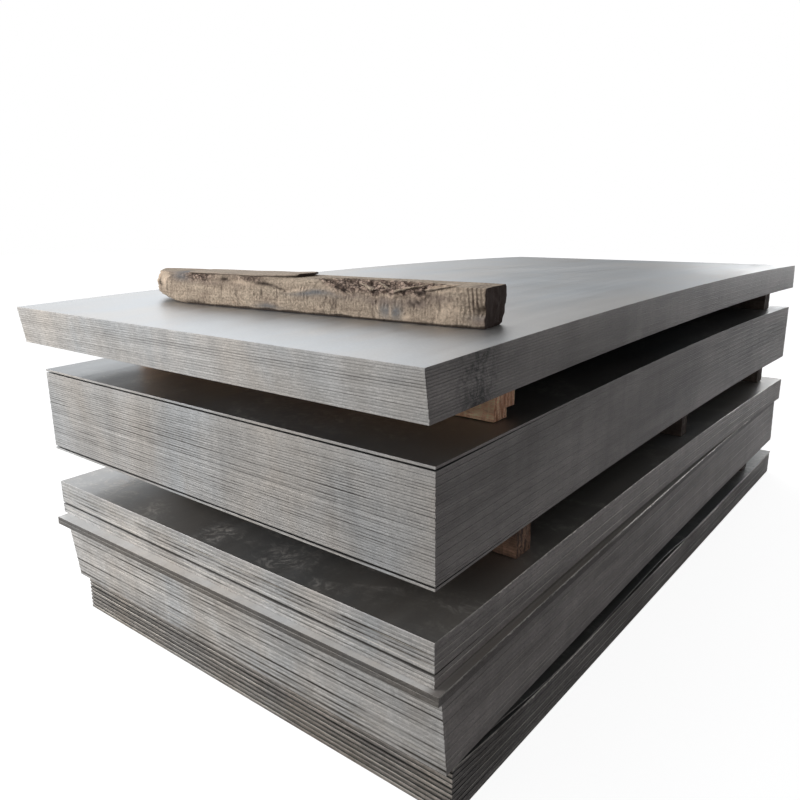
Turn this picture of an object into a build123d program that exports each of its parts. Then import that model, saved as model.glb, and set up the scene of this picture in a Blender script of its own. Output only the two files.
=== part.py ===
"""Packs of steel plates lying on each other, with timbers between them and an old one on top.

X runs along the plates, Y across them and Z up. The near end of the stack is at -X.
All sizes are in millimetres and all angles in degrees.
"""
from build123d import *
from dataclasses import dataclass, field
from math import atan, degrees, radians, sin, sqrt, tan
import os

# Plates
plate_length = 3000.0
plate_width = 1500.0
thin_plate = 6.0
middle_plate = 10.0
thick_plate = 12.0
bottom_count = 10
third_count = 10
second_count = 40
air_gap = 0.3
plate_stray = 0.4
slit_height = 4.0
slit_plate = 3
near_end = -plate_length / 2
far_end = plate_length / 2

# Timbers between the packs, placed by the distance of their middle from the plates' ends
seat_gap = 0.4
spacer_length = 1400.0
spacer_width = 90.0
narrow_spacer_width = 72.0
thin_spacer_width = 60.0
upper_spacer_height = 99.0
lower_spacer_height = 113.5
front_spacer_x = near_end + 339.0
narrow_front_spacer_x = near_end + 429.0
middle_spacer_x = 118.0
back_spacer_x = far_end - 238.0
narrow_back_spacer_x = far_end - 170.0
bottom_spacer_x = far_end - 325.0
front_spacer_y = 2.0
narrow_spacer_y = 10.0
middle_spacer_y = -12.0
notch_length = 60.0
notch_height = 22.0
notch_width = 34.0

# The old timber on top, its features placed from its right end
old_timber_x = near_end + 308.0
old_timber_y = -53.0
old_timber_length = 1220.0
old_timber_width = 116.0
old_timber_height = 90.0
old_timber_turn = 3.8
worn_edge = 5.0
rot_end_distance = 83.0
rot_length = 430.0
rot_depth = 22.0
rot_radius = 60.0
rot_side_distance = 25.0
slab_end_distance = 545.0
slab_length = 427.0
slab_width = 84.0
slab_height = 8.0
break_slant = 97.0
break_undercut = 90.0

# The bottom pack and the thin sheet that lies loose on it
lean = 0.95
curl_height = 30.0
curl_reach = 590.0
sheet_thickness = 4.0
sheet_overhang = 20.0
sheet_touch = 90.0
sheet_waves = [(340.0, 6.0), (570.0, air_gap), (1060.0, 14.0), (1600.0, air_gap)]


@dataclass
class Pack:
    """Plates of one thickness, lying on each other and bent to one arch."""
    node: str
    count: int
    thickness: float
    x: float = 0.0
    y: float = 0.0
    turn: float = 0.0
    camber: float = 0.0
    peak: float = 0.0
    skew: float = 0.0
    lifts: dict = field(default_factory=dict)
    reach: float = 0.0
    level: float = 0.0

    @property
    def pitch(self):
        return self.thickness + air_gap

    @property
    def height(self):
        return self.count * self.pitch - air_gap

    def arch(self, x):
        """Height of the arch at x. It is a circle that rises by camber over half a plate's length."""
        if self.camber == 0:
            return 0.0
        radius = (plate_length ** 2 / 4 + self.camber ** 2) / (2 * self.camber)
        return sqrt(radius ** 2 - (x - self.peak) ** 2) - radius + self.camber

    def lift(self, i, x):
        """How far plate i stands off the arch at x. It is most at the near end."""
        if i not in self.lifts:
            return 0.0
        share = max(0.0, 1 - (x - self.x - near_end) / self.reach)
        return self.lifts[i] * share ** 2

    def under(self, x):
        """Height of the pack's underside at x."""
        return self.level + self.arch(x) + self.lift(0, x)

    def top(self, x):
        """Height of the pack's top face at x."""
        return self.level + self.height + self.arch(x) + self.lift(self.count - 1, x)


bottom_pack = Pack("bottom_pack_plates", bottom_count, middle_plate, x=59.0, y=9.0, turn=0.4,
                   lifts={i: curl_height * i / (bottom_count - 1) for i in range(1, bottom_count)},
                   reach=curl_reach)
fourth_pack = Pack("fourth_pack_plates", 17, thick_plate, x=20.0, y=5.5, turn=0.42, camber=15.0,
                   skew=-20.0)
shifted_pair = Pack("shifted_pair_of_plates", 2, thick_plate, x=-26.0, y=-5.0, turn=0.65, camber=15.0)
third_pack = Pack("third_pack_plates", third_count, middle_plate, x=-2.0, y=-4.0, turn=-0.1, camber=30.0,
                  lifts={i: slit_height for i in range(slit_plate, third_count)}, reach=300.0)
second_pack = Pack("second_pack_plates", second_count, thin_plate, camber=24.0, peak=-50.0,
                   lifts={0: -slit_height, second_count - 1: slit_height}, reach=900.0)
top_pack = Pack("top_pack_plates", 17, thin_plate, x=-64.0, y=-22.0, turn=0.16, camber=22.0,
                peak=-120.0, skew=-14.0)


def side_line(pack, near, far, height, lift):
    """A plate's lower or upper line seen from the side. Its near end may stand off the arch."""
    def point(x):
        return Vector(x, 0, height + pack.arch(x))

    knee = near + pack.reach if lift else near
    if pack.camber:
        body = ThreePointArc(point(far), point((knee + far) / 2), point(knee))
    else:
        body = Line(point(far), point(knee))
    if not lift:
        return [body]
    return [body, TangentArc(body @ 1, point(near) + Vector(0, 0, lift), tangent=body % 1)]


def plate(pack, i):
    """Plate i of a pack, counted from below."""
    skew = pack.skew * (i / (pack.count - 1) - 0.5)
    x = pack.x + skew + plate_stray * sin(2.4 * i)
    y = pack.y + plate_stray * sin(4.1 * i + 1)
    height = pack.level + i * pack.pitch
    lift = pack.lifts.get(i, 0.0)
    lower = side_line(pack, x + near_end, x + far_end, height, lift)
    upper = side_line(pack, x + near_end, x + far_end, height + pack.thickness, lift)
    ends = [Line(lower[0] @ 0, upper[0] @ 0), Line(lower[-1] @ 1, upper[-1] @ 1)]
    solid = extrude(make_face(lower + upper + ends), amount=plate_width / 2, both=True)
    return Pos(x, y, 0) * Rot(0, 0, pack.turn) * Pos(-x, 0, 0) * solid


def plates(pack):
    """All plates of a pack, from the lowest up."""
    return [plate(pack, i) for i in range(pack.count)]


def spacer(x, width, lower_face, upper_face, y=0.0):
    """A timber across the stack, sawn to lie between two faces given as heights over x."""
    near, far = x - width / 2, x + width / 2
    under = [Vector(end, 0, lower_face(end) + seat_gap) for end in (near, far)]
    over = [Vector(end, 0, upper_face(end) - seat_gap) for end in (far, near)]
    outline = Polyline(*under, *over, close=True)
    return Pos(0, y, 0) * extrude(make_face(outline), amount=spacer_length / 2, both=True)


def notched_spacer(x, width, lower_face, upper_face, y):
    """A timber with its far lower corner split off at the right end."""
    far = x + width / 2
    chip = Box(notch_width, notch_length, 2 * notch_height, align=(Align.MAX, Align.MIN, Align.CENTER))
    corner = Pos(far, y - spacer_length / 2, lower_face(far) + seat_gap)
    return spacer(x, width, lower_face, upper_face, y) - corner * chip


def old_timber(surface):
    """A worn beam, rotten in its near top edge, split on top and broken off slanting at the left."""
    right = -old_timber_length / 2
    left = old_timber_length / 2
    top = old_timber_height
    beam = Box(old_timber_width, old_timber_length, top, align=(Align.CENTER, Align.CENTER, Align.MIN))
    beam = chamfer(beam.edges().filter_by(Axis.Y), worn_edge)

    rim_radius = rot_radius - rot_depth
    rim = ThreePointArc((rim_radius, -rot_length / 2), (rot_radius, 0), (rim_radius, rot_length / 2))
    back = Polyline(rim @ 1, (0, rot_length / 2), (0, -rot_length / 2), rim @ 0)
    rot = revolve(make_face([rim, back]), Axis.Y)
    rot_x = -old_timber_width / 2 + rot_side_distance
    rot_y = right + rot_end_distance + rot_length / 2
    beam -= Pos(rot_x, rot_y, top + rim_radius) * rot

    slab_start = right + slab_end_distance
    slab_end = slab_start + slab_length
    edge = Polyline((0, slab_start, top - slab_height), (0, slab_start, top + slab_height),
                    (0, slab_end, top + slab_height / 2), (0, slab_end, top - slab_height), close=True)
    slab_x = old_timber_width / 2 - worn_edge - slab_width / 2
    beam += Pos(slab_x, 0, 0) * extrude(make_face(edge), amount=slab_width / 2, both=True)

    break_normal = Vector(-break_slant / old_timber_width, 1, -break_undercut / top)
    break_plane = Plane(origin=(old_timber_width / 2, left, top), z_dir=break_normal)
    beam = split(beam, bisect_by=break_plane, keep=Keep.BOTTOM)

    slope = (surface(old_timber_x + 1) - surface(old_timber_x - 1)) / 2
    seat = surface(old_timber_x) + seat_gap
    return Pos(old_timber_x, old_timber_y, seat) * Rot(0, -degrees(atan(slope)), old_timber_turn) * beam


# Heights, each pack resting on what is under it
fourth_pack.level = 0.0
shifted_pair.level = fourth_pack.level + fourth_pack.height + seat_gap
third_pack.level = shifted_pair.level + shifted_pair.height + seat_gap
second_pack.level = (third_pack.top(narrow_front_spacer_x) + lower_spacer_height + 2 * seat_gap
                     - second_pack.under(narrow_front_spacer_x))
top_pack.level = (second_pack.top(front_spacer_x) + upper_spacer_height + 2 * seat_gap
                  - top_pack.under(front_spacer_x))

# The bottom pack is flat. Only its near end, curled up plate by plate, reaches the pack above.
bottom_near = bottom_pack.x + near_end
bottom_face = fourth_pack.under(bottom_near) - sheet_thickness - 3 * air_gap - curl_height
bottom_pack.level = bottom_face - bottom_pack.height


def bottom_top(x):
    """Height at x of the bottom pack's top plate, which falls away below the leaning stack."""
    flat = bottom_face - (x - bottom_near) * tan(radians(lean))
    return flat + bottom_pack.lift(bottom_count - 1, x)


def loose_sheet():
    """A thin wavy plate that lies on the bottom pack and touches the pack above at its near end."""
    x = bottom_pack.x + sheet_overhang
    near, far = x + near_end, x + far_end
    touch = fourth_pack.under(near + sheet_touch) - sheet_thickness - 2 * air_gap
    knots = [(near, bottom_top(near) + air_gap), (near + sheet_touch, touch)]
    knots += [(near + distance, bottom_top(near + distance) + rise) for distance, rise in sheet_waves]
    lines = []
    for rise in (0, sheet_thickness):
        wave = Spline([Vector(px, 0, pz + rise) for px, pz in knots])
        lines.append([wave, Line(wave @ 1, Vector(far, 0, bottom_top(far) + air_gap + rise))])
    lower, upper = lines
    ends = [Line(lower[0] @ 0, upper[0] @ 0), Line(lower[1] @ 1, upper[1] @ 1)]
    solid = extrude(make_face(lower + upper + ends), amount=plate_width / 2, both=True)
    return Pos(x, bottom_pack.y, 0) * Rot(0, 0, bottom_pack.turn) * Pos(-x, 0, 0) * solid


def sheet_top(x):
    """Height at x of the loose sheet's top face behind its waves."""
    return bottom_top(x) + air_gap + sheet_thickness


def pieces():
    """Every node's solids, in the leaning stack's own frame."""
    lay_flat = Pos(bottom_near, 0, bottom_face) * Rot(0, lean, 0) * Pos(-bottom_near, 0, -bottom_face)
    lower = (third_pack.top, second_pack.under)
    upper = (second_pack.top, top_pack.under)
    return {
        bottom_pack.node: [lay_flat * solid for solid in plates(bottom_pack)],
        "loose_sheet": [loose_sheet()],
        fourth_pack.node: plates(fourth_pack),
        shifted_pair.node: plates(shifted_pair),
        third_pack.node: plates(third_pack),
        second_pack.node: plates(second_pack),
        top_pack.node: plates(top_pack),
        "bottom_spacer": [spacer(bottom_spacer_x, spacer_width, sheet_top, fourth_pack.under)],
        "narrow_front_spacer": [spacer(narrow_front_spacer_x, narrow_spacer_width, *lower, -narrow_spacer_y)],
        "narrow_middle_spacer": [spacer(middle_spacer_x, thin_spacer_width, *lower, middle_spacer_y)],
        "narrow_back_spacer": [spacer(narrow_back_spacer_x, spacer_width, *lower, narrow_spacer_y)],
        "front_spacer": [notched_spacer(front_spacer_x, spacer_width, *upper, front_spacer_y)],
        "back_spacer": [spacer(back_spacer_x, spacer_width, *upper)],
        "old_timber": [old_timber(top_pack.top)],
    }


stack = pieces()
level_out = Rot(0, -lean, 0)
everything = Compound(children=[level_out * solid for solids in stack.values() for solid in solids])
box = everything.bounding_box()
home = Pos(-box.center().X, -box.center().Y, -box.min.Z) * level_out

os.makedirs("parts", exist_ok=True)
for node, solids in stack.items():
    placed = [home * solid for solid in solids]
    export_step(placed[0] if len(placed) == 1 else Compound(children=placed), f"parts/{node}.step")
print("size", [round(v, 1) for v in (box.size.X, box.size.Y, box.size.Z)])
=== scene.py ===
"""A stack of steel plates in packs, kept apart by timbers, with an old timber lying on top.

Lengths are in metres. X runs along the plates, Y across them and Z up. The near end is at -X.
"""

from math import cos, exp, pi, radians, sin, sqrt

import bmesh
import bpy
from mathutils import Euler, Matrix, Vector, noise
from mathutils.bvhtree import BVHTree


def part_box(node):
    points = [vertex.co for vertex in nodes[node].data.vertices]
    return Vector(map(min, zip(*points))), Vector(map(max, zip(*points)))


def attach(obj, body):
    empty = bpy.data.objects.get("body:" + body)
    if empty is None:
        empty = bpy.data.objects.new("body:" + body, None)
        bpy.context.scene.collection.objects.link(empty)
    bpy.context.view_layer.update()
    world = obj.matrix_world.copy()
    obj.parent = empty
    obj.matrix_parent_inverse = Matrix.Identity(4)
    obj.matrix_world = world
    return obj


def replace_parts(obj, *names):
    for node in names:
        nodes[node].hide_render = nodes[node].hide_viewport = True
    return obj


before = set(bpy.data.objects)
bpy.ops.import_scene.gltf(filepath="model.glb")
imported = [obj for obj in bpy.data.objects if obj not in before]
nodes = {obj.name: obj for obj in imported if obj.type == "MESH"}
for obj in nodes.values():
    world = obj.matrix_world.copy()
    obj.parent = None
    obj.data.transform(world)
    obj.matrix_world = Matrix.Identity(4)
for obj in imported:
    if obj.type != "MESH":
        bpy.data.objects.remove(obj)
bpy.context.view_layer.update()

# Where the photograph was taken from, measured from the second pack's lowest near corner
camera_offset = Vector((-1.0490, -0.7533, 0.7006))
camera_heading = 38.64
camera_tilt = 13.61
camera_roll = 0.07
camera_lens = 32.70
camera_reach = 200

# The floor, and how strongly it shines where the camera sees it
floor_reach = 30
floor_drop = 0.0005
floor_tone = 0.34
floor_glow = 0.89

# Light: azimuth and height it comes from in degrees, how tight it is, and how strong
ambient = 0.065
light_lobes = [
    (160, 22, 2.5, 0.46),
    (58, 34, 10.0, 2.40),
    (8, 5, 140.0, 8.0),
    (-8, 2, 40.0, 4.4),
    (-95, 2, 4.0, 0.07),
    (110, 85, 1.0, 0.25),
]
lamp_place = Vector((-3.6, 2.4, 1.9))
lamp_aim = Vector((-1.4, 0.0, 0.8))
lamp_size = 1.2
lamp_power = 88.0
lamp_colour = (1.0, 0.985, 0.96)
sky_colour = (0.97, 0.985, 1.0, 1)
white = (1, 1, 1, 1)

# Plates
merge_distance = 1e-6
plate_flatness = 0.0003
sharp_angle = radians(45)
smooth_angle = radians(20)
rim_width = 0.0005
upright = 0.5
face_slot, edge_slot = 0, 1

# A plate's level runs from its number up to the next. How far inside that it starts at the pack's
# own top and bottom and between two plates, and how much of it a rounded rim takes
outer_rim = 0.3
inner_rim = 0.001
rim_rise = 0.08

# What sets one pack's plate numbers apart from the next pack's, and a number above every plate's
seed_step = 100.0
no_plate = 1000.0

# What makes the random values of gaps and of bright rims differ from the plates' own
gap_luck = 0.37
rim_luck = 0.71

# Over how many plates a pack grows calm, and how far up the top plate its side gets a painted highlight
calm_fade = 3
crown_start, crown_full = 0.42, 0.60

# Marks and colours of the steel. The third pack's face is smeared in patches of x, y and radius
smeared = [(-1.45, 0.30, 0.06), (-1.45, 0.01, 0.07), (-1.43, -0.24, 0.11), (-1.38, 0.55, 0.09)]
ledge_fade = 0.03
scuff_place = -1.41
scuff_reach = 0.10
pale_dust = (0.63, 0.60, 0.57, 1)
# Colour that the pair's face darkens towards on its ledge beyond the third pack's side
ledge_darkening = (0.12, 0.095, 0.08, 1)
grime = (0.11, 0.085, 0.065, 1)
scuff_black = (0.03, 0.028, 0.03, 1)
# Painted shade, with some grime, for the rims beside the gaps between plates
seam_shade_colour = (0.035, 0.028, 0.022, 1)
# Painted highlight for plates' upper rims
rim_highlight_colour = (0.80, 0.75, 0.68, 1)
rolled_tint = (1.09, 0.99, 0.96)

# The wave texture's scale for rings 1 m wide
ring_scale = 0.314

# Sawn timbers
timber_flatness = radians(1)
arris = 0.0025
slice_length = 0.018
slice_width = 0.009
face_wear = 0.0016
fine_wear = 0.0012
torn_reach = 0.03
end_facing = -0.3
ring_width = 0.009
# The tans are paler than sawn wood is: the front spacer's own orange tan with painted light, as it lies in
# shade under the top pack
tan_light, tan_dark = (1.0, 0.70, 0.46, 1), (0.80, 0.48, 0.28, 1)
brown_light, brown_dark = (0.42, 0.25, 0.17, 1), (0.15, 0.09, 0.07, 1)
# The dull greys are darker than old wood alone: painted shade for the back, middle and bottom spacers, which
# lie in shade between the packs
dull_light, dull_dark = (0.15, 0.115, 0.095, 1), (0.06, 0.046, 0.04, 1)
red_stain, black_stain = (0.50, 0.17, 0.10, 1), (0.05, 0.035, 0.03, 1)

# The old timber's colours
bleached_light, bleached_dark = (0.58, 0.475, 0.37, 1), (0.40, 0.315, 0.245, 1)
rot_dark, rot_light, crumb_gap_shade = (0.11, 0.07, 0.055, 1), (0.56, 0.42, 0.34, 1), (0.03, 0.02, 0.016, 1)
saw_brown, wide_saw_brown = (0.15, 0.115, 0.085, 1), (0.13, 0.105, 0.085, 1)
arc_brown, check_brown = (0.09, 0.065, 0.05, 1), (0.07, 0.05, 0.04, 1)
stain_blue, stain_mauve = (0.17, 0.185, 0.205, 1), (0.21, 0.16, 0.145, 1)
# Pale fresh wood, also laid on splinters' tops as a painted highlight
fresh_break_and_highlight = (0.78, 0.62, 0.48, 1)
# Painted shade, near black, for the old timber's pits, cracks and crevices, its foot and the undersides of
# its slab and splinters
shade_black = (0.035, 0.024, 0.020, 1)
end_brown = (0.075, 0.052, 0.045, 1)
check_scale = 70.0
crumb_scale = 95.0
crumb_stretch = (1, 0.7, 1)

# The old timber's shape, measured from its middle towards its left end, its far side and up
timber_turn = radians(3.8)
timber_half_length = 0.610
timber_half_width = 0.058
timber_height = 0.090
timber_seat = 0.0004
ray_height = 10

# Its near and far sides seen from above: how far along it, and how far across
near_edge = [(-0.61, -0.053), (-0.52, -0.057), (-0.2, -0.055), (0.1, -0.058), (0.4, -0.055), (0.61, -0.050)]
far_edge = [(-0.61, 0.052), (-0.45, 0.057), (-0.1, 0.055), (0.3, 0.057), (0.61, 0.052)]

# Its worn corners and faces
top_wear = 0.0025
near_radius_least, near_radius_uneven, near_radius_knock = 0.004, 0.007, 0.016
knock_place, knock_half_width = -0.03, 0.06
far_radius = 0.007
under_radius, under_radius_uneven, under_far_radius = 0.003, 0.006, 0.006
left_end_drop = 0.006
right_foot_cut, right_top_cut = 0.020, 0.05
side_wear, side_fine_wear = 0.003, 0.0035
dark_mark_depth = 0.002
saw_depth, saw_pitch = 0.0002, 0.0083
notch_depth = 0.016
skin_share = 0.06

# Its broken left end and its sawn right end
break_slant = 0.095
break_facet = 0.045
break_share = 0.16
break_undercut = 0.100
break_tip = 0.62
break_top = 0.022
break_waves = 0.010
break_splinters = 0.018
break_foot = 0.03
right_foot_torn = 0.010
right_end_wear = 0.004

# Its rotten hollow, and the shelves crumbled off its near edge: place, half length and how deep
rot_middle = -0.312
rot_half_length = 0.215
rot_depth = 0.022
rot_radius = 0.060
rot_inset = 0.025
rot_sway = 0.008
rot_border = 0.004
rot_freeboard = 0.001
crumb_height = 0.012
shelf_depth = 0.007
shelves = [(0.315, 0.055, 1.0), (0.105, 0.05, 0.7)]
shelf_inset, shelf_half_width = 0.004, 0.010

# The slab split off its top
slab_start = -0.065
slab_end = 0.362
slab_thickness = 0.008
slab_thinning = 0.55
slab_inset = 0.008
slab_taper = 0.17
slab_taper_inset = 0.022
slab_tip = 0.035
slab_tip_uneven, slab_end_uneven, slab_near_uneven = 0.006, 0.01, 0.004
slab_sink = 0.002
slab_lift = 0.004
slab_least = 0.001
slab_clear = 0.0005
slab_border = 0.08

# Splinters: from and to where in the timber's own place, and how pale their tops are, partly fresh wood and
# partly a painted highlight
splinter_width = 0.013
splinter_thickness = 0.007
splinter_wobble = 0.003
splinters = [
    ((-0.054, -0.454, 0.078), (-0.053, -0.550, 0.0945), 1.0),
    ((-0.050, -0.470, 0.084), (-0.044, -0.535, 0.0930), 0.7),
    ((-0.056, -0.370, 0.071), (-0.049, -0.432, 0.086), 0.9),
    ((-0.044, -0.408, 0.078), (-0.034, -0.465, 0.0925), 0.6),
    ((-0.054, -0.310, 0.071), (-0.046, -0.262, 0.086), 0.6),
    ((-0.034, -0.344, 0.070), (-0.020, -0.300, 0.087), 0.4),
]

# Saw arcs at the timber's right end
sawn_place, sawn_half_length = -0.580, 0.024
arc_gap = 0.010
arc_reach = 0.16
arc_inset = 0.043

# Marks on the old timber: place along it and up it from 0 to 1, their half sizes, and how strong they are
blue_marks = [
    (0.387, 0.97, 0.040, 0.16, 1.0),
    (-0.114, 0.70, 0.075, 0.11, 1.0),
    (0.043, 0.10, 0.045, 0.10, 0.9),
    (-0.344, 0.35, 0.020, 0.30, 0.9),
    (-0.375, 0.30, 0.017, 0.28, 1.0),
    (-0.599, 0.25, 0.030, 0.10, 0.5),
]
mauve_marks = [
    (-0.245, 0.76, 0.060, 0.12, 0.8),
    (-0.335, 0.68, 0.070, 0.16, 1.0),
    (-0.423, 0.64, 0.060, 0.18, 1.0),
    (-0.494, 0.72, 0.040, 0.20, 0.8),
    (-0.599, 0.12, 0.040, 0.12, 0.8),
    (0.263, 0.80, 0.120, 0.10, 0.4),
    (-0.127, 0.50, 0.080, 0.10, 0.3),
]
pale_marks = [
    (0.127, 0.88, 0.050, 0.08, 1.0),
    (-0.025, 0.87, 0.016, 0.09, 1.0),
    (-0.063, 0.86, 0.035, 0.09, 0.8),
    (-0.164, 0.86, 0.035, 0.08, 0.5),
    (-0.405, 0.14, 0.012, 0.11, 1.0),
    (-0.494, 0.93, 0.014, 0.06, 1.0),
    (-0.503, 0.35, 0.028, 0.28, 0.6),
    (-0.605, 0.50, 0.010, 0.09, 1.0),
    (-0.520, 0.55, 0.010, 0.10, 0.8),
    (-0.539, 0.42, 0.009, 0.10, 0.8),
    (0.479, 0.75, 0.020, 0.16, 0.9),
    (-0.344, 0.90, 0.045, 0.04, 0.7),
    (-0.525, 0.97, 0.030, 0.03, 0.8),
    (-0.319, 0.45, 0.0025, 0.35, 0.8),
    (-0.358, 0.35, 0.0025, 0.25, 0.8),
    (0.003, 0.30, 0.0025, 0.28, 0.7),
    (-0.133, 0.12, 0.0030, 0.12, 0.9),
]
# Dark marks are cracks and crevices, grooved a little and darkened with painted shade
dark_marks = [
    (0.221, 0.62, 0.0025, 0.26, 0.6),
    (0.160, 0.45, 0.0025, 0.18, 0.6),
    (0.064, 0.55, 0.0025, 0.25, 0.7),
    (0.008, 0.60, 0.0022, 0.30, 0.75),
    (-0.315, 0.65, 0.0020, 0.22, 0.5),
    (-0.457, 0.80, 0.014, 0.06, 0.8),
    (-0.437, 0.70, 0.010, 0.08, 0.8),
    (-0.419, 0.58, 0.010, 0.08, 0.7),
    (-0.607, 0.52, 0.012, 0.09, 0.9),
    (0.292, 0.93, 0.012, 0.06, 0.9),
    (0.206, 0.94, 0.018, 0.07, 1.0),
    (0.052, 0.90, 0.045, 0.07, 1.0),
    (-0.020, 0.82, 0.006, 0.05, 1.0),
    (0.339, 0.02, 0.050, 0.12, 0.7),
    (-0.494, 0.55, 0.003, 0.22, 0.8),
    (-0.003, 0.88, 0.030, 0.05, 0.9),
]


class Nodes:
    """A node tree, with short calls that add and link its nodes."""

    def __init__(self, tree):
        self.tree = tree

    def node(self, kind, inputs=None, **settings):
        """Adds a node, sets it and links or fills its inputs. Returns it."""
        made = self.tree.nodes.new("ShaderNode" + kind)
        for key, value in settings.items():
            setattr(made, key, value)
        for key, value in (inputs or {}).items():
            if isinstance(value, bpy.types.NodeSocket):
                self.tree.links.new(value, made.inputs[key])
            else:
                made.inputs[key].default_value = value
        return made

    def math(self, operation, a, b=0.0):
        """One step of arithmetic."""
        return self.node("Math", {0: a, 1: b}, operation=operation).outputs[0]

    def plus(self, first, *others):
        """Numbers added together."""
        for other in others:
            first = self.math("ADD", first, other)
        return first

    def times(self, first, *others):
        """Numbers multiplied together."""
        for other in others:
            first = self.math("MULTIPLY", first, other)
        return first


class Shader(Nodes):
    """A material's nodes: places, textures, colours and normals."""

    def __init__(self, name):
        self.material = bpy.data.materials.new(name)
        self.material.use_nodes = True
        super().__init__(self.material.node_tree)
        self.surface = self.tree.nodes["Principled BSDF"]

    def place(self, scale=(1, 1, 1), shift=(0, 0, 0)):
        """The point's place on the object, scaled for a texture."""
        where = self.node("TexCoord").outputs["Object"]
        return self.node("Mapping", {"Vector": where, "Scale": scale, "Location": shift}).outputs[0]

    def noise(self, scale, stretch=(1, 1, 1), detail=4.0, roughness=0.55, warp=0.0, shift=(0, 0, 0),
              where=None):
        """Noise from 0 to 1 with so many waves to the metre, more of them along X, Y or Z as stretch says."""
        where = where or self.place(stretch, shift)
        inputs = {"Vector": where, "Scale": scale, "Detail": detail, "Roughness": roughness,
                  "Distortion": warp}
        return self.node("TexNoise", inputs).outputs["Fac"]

    def strip(self, along, across, level, detail=4.0):
        """Noise that runs along the plates: so many waves to the metre, and so many to a step of level."""
        flat = self.place((along, along, 0))
        up = self.node("CombineXYZ", {2: self.times(level, across)}).outputs[0]
        where = self.node("VectorMath", {0: flat, 1: up}, operation="ADD").outputs[0]
        return self.noise(1.0, detail=detail, where=where)

    def chance(self, number):
        """A random value from 0 to 1 for each number."""
        return self.node("TexWhiteNoise", {"W": number}, noise_dimensions="1D").outputs["Value"]

    def rings(self, width, shift, warp=2.0, axis="Y"):
        """Growth rings or saw arcs so wide round a centre line along an axis. Shift takes its place to 0."""
        where = self.place((0.05, 1, 1) if axis == "X" else (1, 0.05, 1), shift)
        inputs = {"Vector": where, "Scale": ring_scale / width, "Distortion": warp, "Detail": 3.0,
                  "Detail Scale": 1.5, "Detail Roughness": 0.6}
        return self.node("TexWave", inputs, wave_type="RINGS", rings_direction=axis).outputs["Fac"]

    def cracks(self, scale, stretch=(1, 1, 1)):
        """How far a point is from the nearest crack between cells."""
        inputs = {"Vector": self.place(stretch), "Scale": scale, "Detail": 1.0}
        return self.node("TexVoronoi", inputs, feature="DISTANCE_TO_EDGE").outputs["Distance"]

    def crumbs(self, scale, stretch=(1, 1, 1)):
        """A random value from 0 to 1 for each of the cells between the cracks."""
        inputs = {"Vector": self.place(stretch), "Scale": scale, "Detail": 1.0}
        return self.node("SeparateColor", {0: self.node("TexVoronoi", inputs).outputs["Color"]}).outputs[0]

    def value(self, name):
        """A number kept on the mesh."""
        return self.node("Attribute", attribute_name=name).outputs["Fac"]

    def facing(self, axis):
        """How squarely the surface faces along an axis, from 0 to 1."""
        normal = self.node("TexCoord").outputs["Normal"]
        return self.math("ABSOLUTE", self.node("SeparateXYZ", {0: normal}).outputs[axis])

    def spread(self, source, low, high, to_low=0.0, to_high=1.0):
        """Maps low..high of source to to_low..to_high, and holds it there."""
        inputs = {0: source, 1: low, 2: high, 3: to_low, 4: to_high}
        return self.node("MapRange", inputs).outputs[0]

    def between(self, share, at_0, at_1):
        """A number that goes from one value to another as share goes from 0 to 1."""
        return self.spread(share, 0.0, 1.0, at_0, at_1)

    def mix(self, share, a, b, blend="MIX"):
        """Colour a with so much of colour b."""
        return self.node("Mix", {0: share, 6: a, 7: b}, data_type="RGBA", blend_type=blend).outputs[2]

    def shade(self, colour, level):
        """Colour made darker or lighter by a factor."""
        factor = self.node("CombineColor", {0: level, 1: level, 2: level}).outputs[0]
        return self.mix(1.0, colour, factor, "MULTIPLY")

    def tone(self, colour, source, darkest, palest):
        """Colour made darker and lighter by source, which runs from 0 to 1."""
        return self.shade(colour, self.between(source, darkest, palest))

    def bump(self, height, depth, strength=1.0, after=None):
        """A normal from a height map that is depth metres deep."""
        inputs = {"Height": height, "Distance": depth, "Strength": strength}
        if after is not None:
            inputs["Normal"] = after
        return self.node("Bump", inputs).outputs[0]

    def lift(self, normal, share):
        """A normal turned upwards by a share, as on a rounded upper corner."""
        up = self.node("CombineXYZ", {2: share}).outputs[0]
        turned = self.node("VectorMath", {0: normal, 1: up}, operation="ADD").outputs[0]
        return self.node("VectorMath", {0: turned}, operation="NORMALIZE").outputs[0]

    def finish(self, colour, roughness, normal=None, **fixed):
        """Links what varies to the surface and sets what doesn't."""
        for key, source in {"Base Color": colour, "Roughness": roughness, "Normal": normal}.items():
            if isinstance(source, bpy.types.NodeSocket):
                self.tree.links.new(source, self.surface.inputs[key])
            elif source is not None:
                self.surface.inputs[key].default_value = source
        for key, value in fixed.items():
            self.surface.inputs[key.replace("_", " ")].default_value = value
        return self.material


def grey(level, warmth=0.0):
    """A neutral colour, made warmer or cooler."""
    return (level * (1 + warmth), level, level * (1 - warmth), 1.0)


def dull_smears(s, wiped):
    """Where dust is smeared over a face: in broad drifts, and in patches given as x, y and radius."""
    rubbed = s.noise(24, (1, 0.35, 1), detail=5, roughness=0.7, warp=2.0, shift=(1, 6, 0))
    rubbed = s.spread(rubbed, 0.35, 0.65, 0.3, 1.0)
    wipes = s.spread(s.noise(16, roughness=0.6, warp=3.5, shift=(0, 7, 0)), 0.46, 0.60, 0.1, 1.0)
    drifts = s.noise(3.0, (1, 0.5, 1), detail=7, roughness=0.7, warp=1.6, shift=(3, 1, 0))
    smears = s.times(s.spread(drifts, 0.50, 0.64), rubbed, wipes)
    flat = s.place((1, 1, 0))
    for x, y, radius in wiped:
        away = s.node("VectorMath", {0: flat, 1: (x, y, 0)}, operation="DISTANCE").outputs["Value"]
        away = s.plus(away, s.spread(rubbed, 0.3, 1.0, 0.4 * radius, -0.2 * radius))
        patch = s.times(s.spread(away, 0.3 * radius, radius, 0.8, 0.0), wipes)
        smears = s.math("MAXIMUM", smears, patch)
    return smears


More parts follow.
